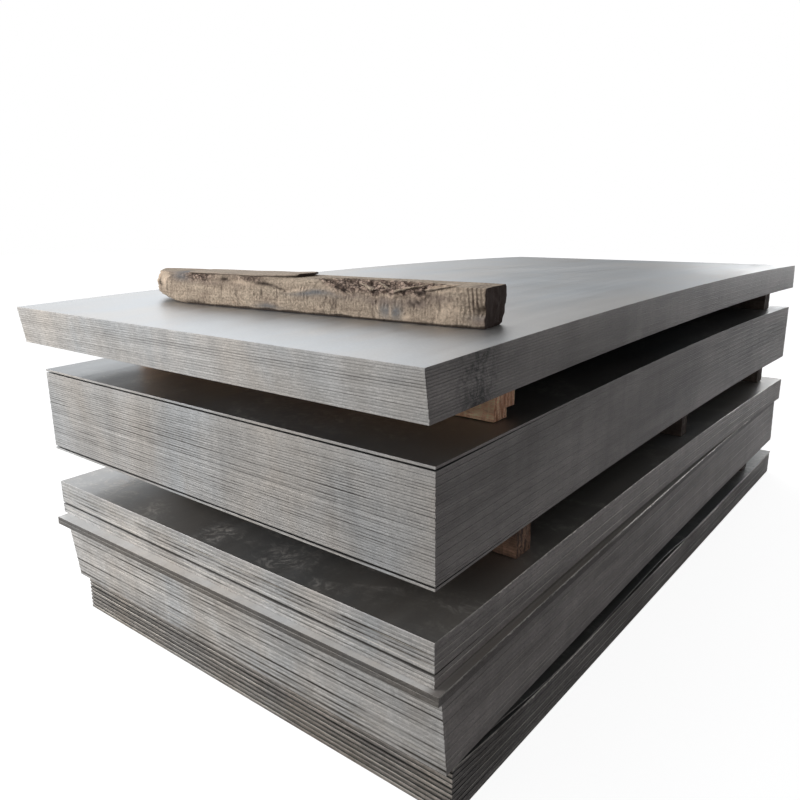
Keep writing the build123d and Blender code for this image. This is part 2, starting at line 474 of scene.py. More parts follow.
def steel_face(name, level, dust, rough, metallic=0.85, warmth=0.0, wiped=(), darker_below=None):
    """Mill finish: a satin sheen with rolling streaks, dull smears and dust.

    Wiped lists the patches of smeared dust, and the face is darker below a place across the stack, given
    last.
    """
    s = Shader(name)
    clouds = s.noise(1.3, (1, 1.6, 1), detail=5, roughness=0.6, warp=0.6)
    streaks = s.noise(9, (0.12, 3, 1), detail=6, roughness=0.6, warp=0.2)
    tints = s.noise(0.9, (1, 2.5, 1), roughness=0.6, warp=0.5, shift=(4, 4, 0))
    smears = dull_smears(s, wiped)
    colour = s.mix(s.spread(tints, 0.4, 0.6), grey(level, warmth + 0.03), grey(level, warmth - 0.04))
    colour = s.tone(colour, clouds, 0.82, 1.14)
    colour = s.tone(colour, streaks, 0.82, 1.16)
    colour = s.mix(s.times(smears, dust), colour, pale_dust)
    colour = s.tone(colour, s.noise(160, detail=3), 0.90, 1.10)
    if darker_below is not None:
        # Darker below a place across the stack
        across = s.node("SeparateXYZ", {0: s.place()}).outputs[1]
        colour = s.mix(s.spread(across, darker_below, darker_below + ledge_fade, 0.75, 0.0), colour, ledge_darkening)
    blur = s.spread(clouds, 0.3, 0.7, rough - 0.06, rough + 0.06)
    blur = s.plus(blur, s.times(smears, 0.20 * dust), s.spread(streaks, 0.3, 0.7, -0.05, 0.05))
    waves = s.bump(s.noise(1.1, (1, 2.2, 1), detail=2), 0.004, 0.5)
    normal = s.bump(streaks, 0.0003, 0.5, waves)
    return s.finish(colour, blur, normal, Metallic=metallic)


def cut_ends(s, level, warmth):
    """Colour of the plates' cut near ends, in patches of a warmer and a cooler grey."""
    tints = s.noise(3.0, (1, 1, 0.7), detail=3, roughness=0.6, warp=0.3, shift=(0, 4, 2))
    return s.mix(s.spread(tints, 0.35, 0.65), grey(level, warmth + 0.02), grey(level, warmth - 0.07))


def long_sides(s, level):
    """Colour of the plates' long sides, with clouds along them."""
    clouds = s.noise(5.0, (0.35, 1, 2.2), detail=6, roughness=0.65, warp=0.5, shift=(1, 0, 7))
    colour = tuple(part * level for part in rolled_tint) + (1,)
    return s.shade(colour, s.spread(clouds, 0.32, 0.68, 0.72, 1.24))


def plate_tones(s, number, height, share):
    """How much paler or darker an edge is: its plate's own tone, streaks and a sheared band."""
    own = s.between(s.chance(number), -0.22, 0.22)
    slow = s.spread(s.strip(1.6, 7.3, number), 0.3, 0.7, -0.25, 0.25)
    quick = s.spread(s.strip(9.0, 3.1, height, detail=6.0), 0.3, 0.7, -0.35, 0.35)
    limit = s.spread(s.strip(5.0, 5.7, number), 0.3, 0.7, 0.25, 0.75)
    sheared = s.spread(s.math("SUBTRACT", share, limit), -0.1, 0.1, -0.4, 0.4)
    return s.plus(s.plus(own, slow), s.plus(quick, sheared))


def seam_shade_and_grime(s, gap, share, seams, seam_width):
    """How dark a rim is beside a gap, with painted shade and some grime, by luck: broken along the gap, and
    wider and stronger at some gaps.
    """
    luck = s.chance(s.plus(gap, gap_luck))
    broken = s.spread(s.strip(6.0, 3.7, gap, detail=6.0), 0.36, 0.60, 0.25, 1.0)
    strength = s.times(broken, s.spread(luck, 0.0, 0.9, 0.3, 1.0))
    from_gap = s.math("SUBTRACT", 0.5, s.math("ABSOLUTE", s.math("SUBTRACT", share, 0.5)))
    from_gap = s.math("DIVIDE", from_gap, s.spread(luck, 0.2, 1.0, 0.6, 1.4))
    return s.times(strength, s.spread(from_gap, 0.4 * seam_width, seam_width, seams, 0.0))


def rim_highlights(s, number, share, glints):
    """How strong the painted highlight on a plate's upper rim is: some plates only, and in stretches."""
    some = s.spread(s.chance(s.plus(number, rim_luck)), 0.6, 0.8)
    stretches = s.spread(s.strip(4.0, 5.1, number, detail=6.0), 0.42, 0.58, 0.0, glints)
    return s.times(some, s.spread(share, 0.78, 0.9), stretches)


def black_scuffs(s, middle):
    """Where the side is scuffed black, about a place along the stack."""
    along = s.node("SeparateXYZ", {0: s.place(shift=(-middle, 0, 0))}).outputs[0]
    near = s.spread(s.math("ABSOLUTE", along), 0.0, scuff_reach, 1.0, 0.0)
    marks = s.noise(38, (1, 1, 0.8), detail=6, roughness=0.75, warp=1.2, shift=(2, 2, 5))
    return s.times(near, s.spread(marks, 0.44, 0.60))


def steel_edge(name, seed, level, side_level, lines, dirt, seams, seam_width=0.17, calm_above=no_plate,
               glints=0.0, warmth=0.05, scuffed=None, crown=no_plate):
    """Cut edges: each plate has its own tone, a sheared band and streaks, and at each gap a rim darkened with
    painted shade and some grime.

    Level and side_level say how pale the ends and the long sides are, lines how much the plates differ,
    seams how dark the gaps are and glints how strong the painted highlights on the upper rims are. The
    plates differ less from calm_above up, and above crown the side gets a painted highlight and a normal
    turned up, both given as a plate's number. Scuffed is a place along the stack.
    """
    s = Shader(name)
    side = s.spread(s.facing(1), 0.4, 0.6)
    place = s.value("plate_level")
    height = s.plus(place, seed_step * seed)
    number = s.math("FLOOR", height)
    share = s.math("FRACT", height)
    gap = s.math("FLOOR", s.plus(height, 0.5))
    patches = s.noise(3.5, (1, 1, 0.8), roughness=0.6, warp=0.4, shift=(7, 3, 2))
    calm = s.spread(place, calm_above, calm_above + calm_fade, 1.0, 0.25)
    calm = s.times(s.spread(patches, 0.38, 0.58, 0.65, 1.0), calm)
    grains = s.noise(480, (0.6, 0.6, 1), detail=3, roughness=0.6)
    speckle = s.spread(s.noise(130, (0.5, 0.5, 1.6), roughness=0.7, shift=(3, 1, 0)), 0.3, 0.7)
    smears = s.noise(9, (1.5, 1.5, 0.22), roughness=0.6, warp=0.4, shift=(2, 0, 1))
    blotches = s.noise(2.3, (1, 1, 1.8), detail=5, roughness=0.6, warp=0.7, shift=(5, 2, 1))

    colour = s.mix(side, cut_ends(s, level, warmth), long_sides(s, side_level))
    contrast = s.times(lines, calm, s.between(side, 1.0, 0.22))
    colour = s.shade(colour, s.plus(1.0, s.times(plate_tones(s, number, height, share), contrast)))
    colour = s.shade(colour, s.spread(grains, 0.3, 0.7, 0.80, 1.20))
    colour = s.tone(colour, speckle, 0.90 - 0.5 * dirt, 1.10 + 0.8 * dirt)
    colour = s.shade(colour, s.spread(smears, 0.35, 0.65, 0.90, 1.08))
    colour = s.mix(s.spread(blotches, 0.46, 0.74, 0.0, dirt), colour, grime)
    if scuffed is not None:
        colour = s.mix(s.times(black_scuffs(s, scuffed), side), colour, scuff_black)
    # Painted shade with some grime beside each gap
    seam = s.times(seam_shade_and_grime(s, gap, share, seams, seam_width), calm, s.between(side, 1.0, 0.16))
    colour = s.mix(seam, colour, seam_shade_colour)

    # Painted highlight: the top plate's upper side rim above crown is made pale with its normal turned up,
    # and so are some other plates' upper rims
    ragged = s.plus(place, s.between(speckle, -0.25, 0.25))
    worn = s.spread(ragged, crown + crown_start, crown + crown_full)
    worn = s.times(worn, s.spread(blotches, 0.40, 0.58, 1.0, 0.3), side)
    highlit_rims = s.math("MAXIMUM", rim_highlights(s, number, share, glints), worn)
    colour = s.mix(highlit_rims, colour, rim_highlight_colour)
    rough = s.plus(s.between(speckle, 0.42, 0.60), s.between(side, 0.0, -0.14))
    normal = s.lift(s.bump(speckle, 0.0006, 0.3), worn)
    return s.finish(colour, rough, normal, Metallic=0.35)


def sawn_wood(name, light, dark, stain, stained, pith):
    """Sawn softwood: growth rings round a pith, long grain, stains and darker ends."""
    s = Shader(name)
    fibres = s.noise(55, (4, 0.25, 4), detail=5, roughness=0.65, warp=0.3)
    pores = s.noise(420, (1, 0.2, 1), detail=2)
    blotches = s.noise(9, (1, 0.6, 1), detail=5, roughness=0.6, warp=0.8, shift=(2, 4, 0))
    end = s.spread(s.facing(1), 0.5, 0.8)
    patches = s.spread(s.noise(26, (1, 0.8, 1), roughness=0.6, warp=0.5, shift=(3, 0, 4)), 0.38, 0.62)
    torn = s.noise(38, (2.5, 1, 0.25), detail=5, roughness=0.7, warp=0.5, shift=(0.4, 0, 3))
    rings = s.times(s.spread(s.rings(ring_width, pith), 0.25, 0.85), s.between(patches, 0.15, 0.6))
    colour = s.mix(s.times(rings, s.between(end, 0.8, 0.3)), light, dark)
    colour = s.mix(s.between(patches, 0.0, 0.15), colour, stain)
    colour = s.shade(colour, s.spread(fibres, 0.3, 0.7, 0.78, 1.50))
    colour = s.shade(colour, s.spread(pores, 0.3, 0.7, 0.90, 1.30))
    colour = s.mix(s.times(s.between(end, 0.30, 0.80), s.spread(torn, 0.44, 0.56)), colour, stain)
    colour = s.mix(s.spread(blotches, 0.45, 0.68, 0.0, stained), colour, stain)
    normal = s.bump(rings, 0.0004, 0.5, s.bump(fibres, 0.0012, 0.6))
    return s.finish(colour, s.spread(fibres, 0.2, 0.8, 0.65, 0.85), normal, Specular_IOR_Level=0.25)


def bleached_wood(s, fibres, broken_up, saw):
    """The old timber's sound wood: bleached, with saw marks, fine checks, and grey-blue and mauve stains."""
    blotches = s.noise(9, (1, 0.8, 1.6), detail=5, roughness=0.65, warp=0.8, shift=(1, 5, 0))
    grain = s.noise(60, (1, 0.12, 3), detail=5, roughness=0.6, warp=0.3, shift=(0, 2, 1))
    few = s.noise(24, (1, 1, 0.6), roughness=0.65, warp=0.8, shift=(6, 1, 3))
    checks = s.spread(s.cracks(check_scale, (1, 0.8, 0.35)), 0.0, 0.08, 0.7, 0.0)
    wide_saw = s.noise(38, (0.3, 1, 0.16), roughness=0.6, warp=0.4, shift=(0, 3, 0))
    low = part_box("old_timber")[0]
    centre = (0, -(low.y + arc_inset + arc_reach), -(low.z + timber_height / 2))
    arcs = s.spread(s.rings(arc_gap, centre, warp=0.8, axis="X"), 0.40, 0.72)
    colour = s.mix(s.spread(blotches, 0.35, 0.66), bleached_light, bleached_dark)
    colour = s.shade(colour, s.spread(fibres, 0.3, 0.7, 0.50, 1.45))
    colour = s.shade(colour, s.spread(grain, 0.3, 0.7, 0.84, 1.14))
    colour = s.mix(s.spread(saw, 0.54, 0.72, 0.0, 0.55), colour, saw_brown)
    colour = s.mix(s.times(s.spread(few, 0.54, 0.66), checks), colour, check_brown)
    colour = s.mix(s.spread(wide_saw, 0.58, 0.72, 0.0, 0.35), colour, wide_saw_brown)
    colour = s.mix(s.times(arcs, s.value("sawn")), colour, arc_brown)
    colour = s.mix(s.times(s.value("blue"), broken_up), colour, stain_blue)
    return s.mix(s.times(s.value("mauve"), 0.65), colour, stain_mauve)


def rotten_wood(s, fibres, crumbs):
    """The old timber's rot: brown crumbs with painted shade, near black, in the cracks between them."""
    cracks = s.spread(s.cracks(crumb_scale, crumb_stretch), 0.0, 0.12, 0.9, 0.0)
    colour = s.mix(s.spread(crumbs, 0.15, 0.9), rot_dark, rot_light)
    colour = s.mix(cracks, colour, crumb_gap_shade)
    return s.shade(colour, s.spread(fibres, 0.3, 0.7, 0.6, 1.35))


def weathered_wood(name):
    """Old beam: bleached sides with saw marks and stains, brown rot cracked into crumbs, pale breaks, painted
    highlights on splinters, and painted shade in pits, cracks and crevices and under overhangs.
    """
    s = Shader(name)
    rot = s.value("rot")
    fibres = s.noise(230, (1, 0.7, 0.8), detail=5, roughness=0.7, warp=0.3)
    broken_up = s.spread(fibres, 0.35, 0.6, 0.55, 1.0)
    saw = s.noise(210, (0.2, 1, 0.07), roughness=0.6)
    crumbs = s.crumbs(crumb_scale, crumb_stretch)
    colour = s.mix(rot, bleached_wood(s, fibres, broken_up, saw), rotten_wood(s, fibres, crumbs))
    colour = s.mix(s.times(s.value("pale"), broken_up), colour, fresh_break_and_highlight)
    # Painted shade where the mesh's dark value says
    colour = s.mix(s.value("dark"), colour, shade_black)
    end = s.tone(end_brown, s.noise(90, (2, 1, 0.15), roughness=0.65), 0.4, 1.6)
    colour = s.mix(s.value("end"), colour, end)
    normal = s.bump(saw, 0.0010, 0.6, s.bump(fibres, 0.0020, 0.7))
    normal = s.bump(crumbs, 0.003, s.between(rot, 0.0, 0.8), normal)
    return s.finish(colour, 0.85, normal, Specular_IOR_Level=0.2)


def islands(bm):
    """Groups of faces that hang together, from the lowest to the highest."""
    groups, seen = [], set()
    for start in bm.faces:
        if start in seen:
            continue
        seen.add(start)
        group, front = [], [start]
        while front:
            face = front.pop()
            group.append(face)
            for edge in face.edges:
                for other in edge.link_faces:
                    if other not in seen:
                        seen.add(other)
                        front.append(other)
        groups.append(group)
    return sorted(groups, key=lambda g: sum(f.calc_center_median().z for f in g) / len(g))


def add_object(name, data):
    """Puts an object in the scene and returns it."""
    made = bpy.data.objects.new(name, data)
    bpy.context.scene.collection.objects.link(made)
    return made


def add_piece(name, bm, materials):
    """Makes a mesh object of bm and lets it ride on the stack."""
    mesh = bpy.data.meshes.new(name)
    bm.to_mesh(mesh)
    bm.free()
    for material in materials:
        mesh.materials.append(material)
    mesh.shade_smooth()
    mesh.set_sharp_from_angle(angle=smooth_angle)
    piece = add_object(name, mesh)
    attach(piece, "root")
    return piece


def from_cad(node, flatness):
    """A node's mesh with its corners joined and its faces whole where they are flat to an angle."""
    bm = bmesh.new()
    bm.from_mesh(nodes[node].data)
    bmesh.ops.remove_doubles(bm, verts=bm.verts, dist=merge_distance)
    bmesh.ops.dissolve_limit(bm, angle_limit=flatness, verts=bm.verts, edges=bm.edges)
    return bm


def sharp_edges(bm):
    """The edges at which two faces meet at a corner."""
    return [e for e in bm.edges if len(e.link_faces) == 2 and e.calc_face_angle() > sharp_angle]


def dress_plates(node, materials):
    """A pack's plates with rounded rims. Each point knows its plate's number and how far up it is."""
    bm = from_cad(node, plate_flatness)
    for face in bm.faces:
        face.material_index = face_slot if abs(face.normal.z) > upright else edge_slot
    rims = [e for e in sharp_edges(bm) if any(abs(f.normal.z) > upright for f in e.link_faces)]
    made = bmesh.ops.bevel(bm, geom=rims, offset=rim_width, offset_type="OFFSET", segments=1,
                           profile=0.5, affect="EDGES", material=edge_slot)
    rounded = set(made["faces"])
    level = bm.verts.layers.float.new("plate_level")
    groups = islands(bm)
    for number, group in enumerate(groups):
        low = number + (outer_rim if number == 0 else inner_rim)
        high = number + 1 - (outer_rim if number == len(groups) - 1 else inner_rim)
        for face in sorted(group, key=lambda f: f not in rounded):
            if face not in rounded and face.material_index == edge_slot:
                continue
            rise = rim_rise if face in rounded else 0.0
            for v in face.verts:
                v[level] = high - rise if face.normal.z > 0 else low + rise
    piece = add_piece(node + "_dressed", bm, materials)
    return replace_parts(piece, node)


def slice_up(bm, axis, step):
    """Cuts the mesh across an axis every step."""
    places = [v.co[axis] for v in bm.verts]
    low, high = min(places), max(places)
    count = int((high - low) / step)
    normal = Vector((0, 0, 0))
    normal[axis] = 1
    for i in range(1, count):
        point = normal * (low + (high - low) * i / count)
        geom = list(bm.verts) + list(bm.edges) + list(bm.faces)
        bmesh.ops.bisect_plane(bm, geom=geom, plane_co=point, plane_no=normal)


def dress_timber(node, material, seed, ragged):
    """A sawn timber with worn arrises, uneven faces and a near end that is ragged to a depth."""
    bm = from_cad(node, timber_flatness)
    bmesh.ops.bevel(bm, geom=sharp_edges(bm), offset=arris, offset_type="OFFSET", segments=2,
                    profile=0.5, affect="EDGES")
    slice_up(bm, 1, slice_length)
    slice_up(bm, 0, slice_width)
    slice_up(bm, 2, slice_width)
    bm.normal_update()
    low = min(v.co.y for v in bm.verts)
    shift = Vector((seed, 0, 0))
    moves = {}
    for v in bm.verts:
        long_waves = noise.noise(Vector((v.co.x * 40, v.co.y * 7, v.co.z * 40)) + shift)
        short_waves = noise.noise(v.co * 130 + shift)
        depth = face_wear * (0.5 + 0.5 * long_waves) + fine_wear * (0.5 + 0.5 * short_waves)
        moves[v] = v.co - v.normal * depth
        if v.co.y - low < torn_reach and v.normal.y < end_facing:
            torn = noise.noise(Vector((v.co.x * 160, 0, v.co.z * 160)) + shift)
            moves[v].y += ragged * abs(torn)
    for v, place in moves.items():
        v.co = place
    piece = add_piece(node + "_dressed", bm, [material])
    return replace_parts(piece, node)


def clamp(value):
    """The value, held between 0 and 1."""
    return min(1.0, max(0.0, value))


def follow(points, x):
    """The value at x of a smooth line through (x, value) points."""
    for (x0, a), (x1, b) in zip(points, points[1:]):
        if x <= x1:
            share = clamp((x - x0) / (x1 - x0))
            return a + (b - a) * share * share * (3 - 2 * share)
    return points[-1][1]


def hump(x, middle, width):
    """A smooth bump 1 high."""
    return exp(-((x - middle) / width) ** 2)


def roughly(x, y, z, seed):
    """Noise from -1 to 1."""
    return noise.noise(Vector((x, y, z + seed)))


def uneven(x, y, z, seed):
    """Noise from 0 to 1."""
    return 0.5 + 0.5 * roughly(x, y, z, seed)


def creased(x, y, z, seed):
    """Noise from 0 to 1 with sharp valleys at 0."""
    return abs(roughly(x, y, z, seed))


def rounding(distance, radius):
    """How far a rounded corner falls back at a distance from the edge."""
    if distance >= radius:
        return 0.0
    return radius - sqrt(radius ** 2 - (radius - max(distance, 0.0)) ** 2)


def marked(marks, y, v):
    """How strongly a list of marks shows at a place on the near side."""
    return max(strength * hump(y, at, half_length) * hump(v, up, half_height)
               for at, up, half_length, half_height, strength in marks)


def rotten_hollow(x, y, near, height):
    """Height of the rotten hollow at a place, how rotten it is there and how much painted shade its pits get.
    """
    along = (y - rot_middle) / rot_half_length
    if abs(along) >= 1:
        return height, 0.0, 0.0
    middle = near + rot_inset + rot_sway * roughly(0, y * 9, 0, 2)
    radius = rot_radius - rot_depth * along ** 2
    across = min(abs(x - middle), radius)
    floor = timber_height + rot_radius - rot_depth - sqrt(radius ** 2 - across ** 2)
    if floor >= height:
        return height, 0.0, 0.0
    rot = clamp((height - floor) / rot_border)
    ridges = 1 - 2 * creased(x * 45, y * 32, 0, 3)
    crumbs = 0.6 * ridges + 0.6 * roughly(x * 110, y * 80, 0, 4)
    # Painted shade in the low spots between the crumbs
    pit_shade = rot * clamp(1.6 * (0.30 - crumbs))
    return min(timber_height - rot_freeboard, floor + rot * crumb_height * (crumbs - 0.2)), rot, pit_shade


def beam_top(x, y):
    """Height of the old timber's top, how rotten it is there and how much painted shade its pits get."""
    near, far = follow(near_edge, y), follow(far_edge, y)
    height = timber_height - top_wear * uneven(x * 20, y * 6, 0, 1)
    height, rot, pit_shade = rotten_hollow(x, y, near, height)
    shelf = clamp(sum(strength * hump(y, at, half) for at, half, strength in shelves))
    shelf *= hump(x, near + shelf_inset, shelf_half_width)
    gnawed = creased(0, y * 45, x * 60, 5)
    height -= shelf_depth * shelf * (0.5 + 1.2 * gnawed)
    rot = max(rot, clamp(1.6 * shelf))
    # Painted shade in the gnawed hollows of the shelves
    pit_shade = max(pit_shade, shelf * clamp(2.2 * gnawed))
    height -= left_end_drop * hump(y, timber_half_length, 0.05) * creased(x * 30, 0, 0, 6)
    near_radius = near_radius_least + near_radius_uneven * uneven(0, y * 14, 0, 7)
    near_radius += near_radius_knock * hump(y, knock_place, knock_half_width)
    height -= rounding(x - near, near_radius) + rounding(far - x, far_radius)
    return height, rot, pit_shade


def left_end(u, v):
    """Where the broken left end lies: slanting, undercut below its tip and splintered."""
    splinters = break_waves * roughly(u * 9, v * 7, 0, 8) + break_splinters * creased(u * 22, v * 16, 0, 9)
    above = clamp((v - break_tip) / (1 - break_tip))
    below = clamp((break_tip - v) / break_tip)
    back = break_top * above ** 1.5 + break_undercut * below ** 3.5
    back += break_foot * clamp(1 - 3 * v) * max(0.0, roughly(u * 15, v * 9, 0, 17))
    facet = break_slant * (1 - u) + break_facet * clamp(1 - u / break_share)
    return timber_half_length - facet - back - abs(splinters)


def right_end(u, v):
    """Where the sawn right end lies: a little uneven, and torn at its foot."""
    torn = right_foot_torn * clamp(1 - 3 * v) * creased(u * 12, 3, 0, 16)
    return torn + right_end_wear * uneven(u * 6, v * 6, 0, 10) - timber_half_length


def near_wear(y, z, v):
    """How far the near side is worn back: unevenly, in saw ridges, and in a notch at the right end."""
    worn = side_wear * uneven(0, y * 16, z * 40, 14) + side_fine_wear * creased(0, y * 95, z * 80, 15)
    notch = notch_depth * hump(v, 0.45, 0.12) * hump(y, -timber_half_length, 0.018)
    return worn + notch - saw_depth * sin(2 * pi * y / saw_pitch + 2 * roughly(0, y * 30, z * 20, 12))


def beam_point(u, v, s):
    """A point of the old timber: across u, up v and along s, each from 0 to 1. Returns it and its marks."""
    right = right_end(u, v)
    y = right + (left_end(u, v) - right) * s
    near, far = follow(near_edge, y), follow(far_edge, y)
    cut_back = right_foot_cut * (1 - v) ** 2 + right_top_cut * max(0.0, v - 0.6) ** 2
    far -= cut_back * hump(y, -timber_half_length, 0.12)
    x = near + (far - near) * u
    top, rot, pit_shade = beam_top(x, y)
    near_under = under_radius + under_radius_uneven * creased(0, y * 12, 0, 11)
    under = rounding(x - near, near_under) + rounding(far - x, under_far_radius)
    z = under + (top - under) * v

    skin = clamp(1 - u / skin_share)
    dark = marked(dark_marks, y, v)
    x += skin * (near_wear(y, z, v) + dark_mark_depth * dark)
    side = 1.0 if u < 0.5 else 0.0
    upper = clamp((v - 0.9) / 0.1)
    lip = skin * rot * clamp((v - 0.72) / 0.28)
    # Painted shade: a contact shadow along the near side's foot and a dark crevice at the broken end
    shadow = side * clamp(1 - v / 0.035)
    at_break = 1.0 if s == 1.0 else 0.0
    crevice = at_break * hump(u, 0.10, 0.03) * hump(v, 0.62, 0.2)
    marks = {
        "rot": max(lip, rot * upper),
        "dark": max(pit_shade * upper, side * dark, 0.9 * shadow, crevice),
        "blue": side * marked(blue_marks, y, v),
        "mauve": side * marked(mauve_marks, y, v),
        "pale": max(side * marked(pale_marks, y, v), 0.9 * at_break * hump(v, 0.75, 0.25)),
        "sawn": 0.85 * hump(y, sawn_place, sawn_half_length) * clamp((v - 0.3) / 0.2),
    }
    return Vector((x, y, z)), marks


def slab_point(u, v, s):
    """A point of the thin slab that is split off the old timber's top."""
    tip = slab_start + slab_tip * abs(u - 0.55) + slab_tip_uneven * roughly(u * 7, 0, 0, 21)
    y = tip + (slab_end + slab_end_uneven * roughly(u * 5, 0, 0, 22) - tip) * s
    full = clamp((y - slab_start) / slab_taper)
    near = follow(near_edge, y) + slab_inset + slab_taper_inset * (1 - full) ** 2
    near += slab_near_uneven * roughly(0, y * 30, 0, 23)
    far = follow(far_edge, y) - slab_inset
    x = near + (far - near) * u
    thickness = slab_thickness * (1 - slab_thinning * s) * (0.75 + 0.25 * roughly(0, y * 11, x * 12, 24))
    thickness *= 0.5 + 0.5 * clamp(min(u, 1 - u) / slab_border)
    z = timber_height - slab_sink + slab_lift * (1 - full) ** 1.5 + v * (slab_least + thickness)
    z = min(z, timber_height + slab_thickness - slab_clear)
    shade = (1 - v) * clamp(1 - u / 0.05)
    return Vector((x, y, z)), {"dark": 0.9 * shade, "blue": 0.35 * v, "pale": 0.3 * v}


def splinter(start, end, tint, seed):
    """A thin splinter from one place on the old timber to another. Returns what gives its points."""
    start, end = Vector(start), Vector(end)

    def point(u, v, s):
        taper = (1 - 0.8 * s) * clamp(0.3 + 6 * s)
        wobble = splinter_wobble * roughly(s * 6, 0, 0, seed)
        across = (u - 0.5) * splinter_width * taper * (1 + 0.5 * roughly(s * 9, u, 0, seed + 1)) + wobble
        up = (v - 0.5) * splinter_thickness * taper * (1 + 0.5 * roughly(s * 8, 0, v, seed + 2))
        place = start.lerp(end, s) + Vector((across, 0, up))
        # A painted highlight with pale fresh wood on top, and painted shade underneath
        return place, {"pale": tint * v, "dark": 0.8 * (1 - v) ** 2}

    return point


def outline(near, top, far, bottom):
    """So many places (u, v) up, over, down and back round a square, closer together beside its corners."""
    def eased(count):
        return [0.5 - 0.5 * cos(pi * i / count) for i in range(count)]

    around = [(0.0, i / near) for i in range(near)]
    around += [(u, 1.0) for u in eased(top)]
    around += [(1.0, 1 - i / far) for i in range(far)]
    around += [(1 - u, 0.0) for u in eased(bottom)]
    return around


def skin_over(bm, point, around, stations, rings, settle):
    """A closed skin over the body that point describes: rows round it from end to end, and two caps."""
    def corner(u, v, s, at_end):
        place, marks = point(u, v, s)
        vert = bm.verts.new(settle(place))
        for name, strength in marks.items():
            vert[bm.verts.layers.float[name]] = strength
        vert[bm.verts.layers.float["end"]] = at_end
        return vert

    def row(share, s, at_end):
        return [corner(0.5 + (u - 0.5) * share, 0.5 + (v - 0.5) * share, s, at_end) for u, v in around]

    def join(a, b):
        for i in range(len(a)):
            j = (i + 1) % len(a)
            bm.faces.new((a[i], a[j], b[j], b[i]))

    rows = [row((i + 1) / (rings + 1), 0.0, 1.0) for i in range(rings)]
    rows += [row(1.0, i / stations, 1.0 if i == 0 else 0.0) for i in range(stations + 1)]
    rows += [row((rings - i) / (rings + 1), 1.0, 0.0) for i in range(rings)]
    for a, b in zip(rows, rows[1:]):
        join(a, b)
    for ring, s in ((rows[0], 0.0), (rows[-1], 1.0)):
        middle = corner(0.5, 0.5, s, 1.0 - s)
        for i in range(len(ring)):
            bm.faces.new((ring[i], ring[(i + 1) % len(ring)], middle))


def old_timber(material):
    """The weathered beam, its split slab and its splinters, laid on the top pack."""
    low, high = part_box("old_timber")
    reach = timber_half_width * cos(timber_turn) + timber_half_length * sin(timber_turn)
    middle = Vector((high.x - reach, (low.y + high.y) / 2, 0))
    bm = bmesh.new()
    bm.from_mesh(nodes["top_pack_plates"].data)
    ground = BVHTree.FromBMesh(bm)
    bm.free()

    def settle(place):
        """From the timber's own place to the stack's."""
        x = middle.x + place.x * cos(timber_turn) - place.y * sin(timber_turn)
        y = middle.y + place.x * sin(timber_turn) + place.y * cos(timber_turn)
        hit = ground.ray_cast(Vector((x, y, ray_height)), Vector((0, 0, -1)))[0]
        return Vector((x, y, hit.z + timber_seat + place.z))

    bm = bmesh.new()
    for name in ("rot", "end", "dark", "blue", "mauve", "pale", "sawn"):
        bm.verts.layers.float.new(name)
    around_beam = outline(near=26, top=34, far=14, bottom=14)
    around_slab = outline(near=4, top=26, far=4, bottom=14)
    around_splinter = outline(near=2, top=3, far=2, bottom=3)
    skin_over(bm, beam_point, around_beam, stations=400, rings=14, settle=settle)
    skin_over(bm, slab_point, around_slab, stations=150, rings=3, settle=settle)
    for number, (start, end, tint) in enumerate(splinters):
        point = splinter(start, end, tint, seed=30.0 + 5 * number)
        skin_over(bm, point, around_splinter, stations=24, rings=0, settle=settle)
    bmesh.ops.recalc_face_normals(bm, faces=bm.faces)
    piece = add_piece("old_timber_weathered", bm, [material])
    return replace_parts(piece, "old_timber")


def lay_floor():
    """A pale floor that shines for the camera alone and keeps the stack's shadow."""
    bm = bmesh.new()
    bmesh.ops.create_grid(bm, x_segments=1, y_segments=1, size=floor_reach)
    mesh = bpy.data.meshes.new("floor")
    bm.to_mesh(mesh)
    bm.free()
    floor = add_object("floor", mesh)
    floor.location.z = -floor_drop
    s = Shader("pale_floor")
    seen = s.node("LightPath").outputs["Is Camera Ray"]
    colour = s.tone(grey(floor_tone), s.noise(3), 0.985, 1.015)
    mesh.materials.append(s.finish(colour, 0.9, Specular_IOR_Level=0.0, Emission_Color=white))
    s.tree.links.new(s.times(seen, floor_glow), s.surface.inputs["Emission Strength"])


def light_world():
    """Soft light from a few directions all around, and plain white where the camera sees past the floor."""
    world = bpy.data.worlds.new("studio")
    bpy.context.scene.world = world
    world.use_nodes = True
    world.node_tree.nodes.clear()
    w = Nodes(world.node_tree)
    direction = w.node("TexCoord").outputs["Generated"]
    strength = ambient
    for azimuth, elevation, tightness, brightness in light_lobes:
        a, e = radians(azimuth), radians(elevation)
        source = (cos(e) * cos(a), cos(e) * sin(a), sin(e))
        facing = w.node("VectorMath", {0: direction, 1: source}, operation="DOT_PRODUCT").outputs["Value"]
        lobe = w.math("POWER", w.math("MAXIMUM", facing), tightness)
        strength = w.node("Math", {0: lobe, 1: brightness, 2: strength}, operation="MULTIPLY_ADD").outputs[0]
    light = w.node("Background", {"Color": sky_colour, "Strength": strength}).outputs[0]
    backdrop = w.node("Background", {"Color": white, "Strength": 1.0}).outputs[0]
    seen = w.node("LightPath").outputs["Is Camera Ray"]
    shown = w.node("MixShader", {0: seen, 1: light, 2: backdrop}).outputs[0]
    w.node("OutputWorld", {"Surface": shown})


def add_lamp():
    """A large soft lamp beyond the stack's near left corner."""
    lamp = bpy.data.lights.new("side_lamp", "AREA")
    lamp.size = lamp_size
    lamp.energy = lamp_power
    lamp.color = lamp_colour
    shining = add_object("side_lamp", lamp)
    shining.location = lamp_place
    shining.rotation_euler = (lamp_aim - lamp_place).to_track_quat("-Z", "Y").to_euler()


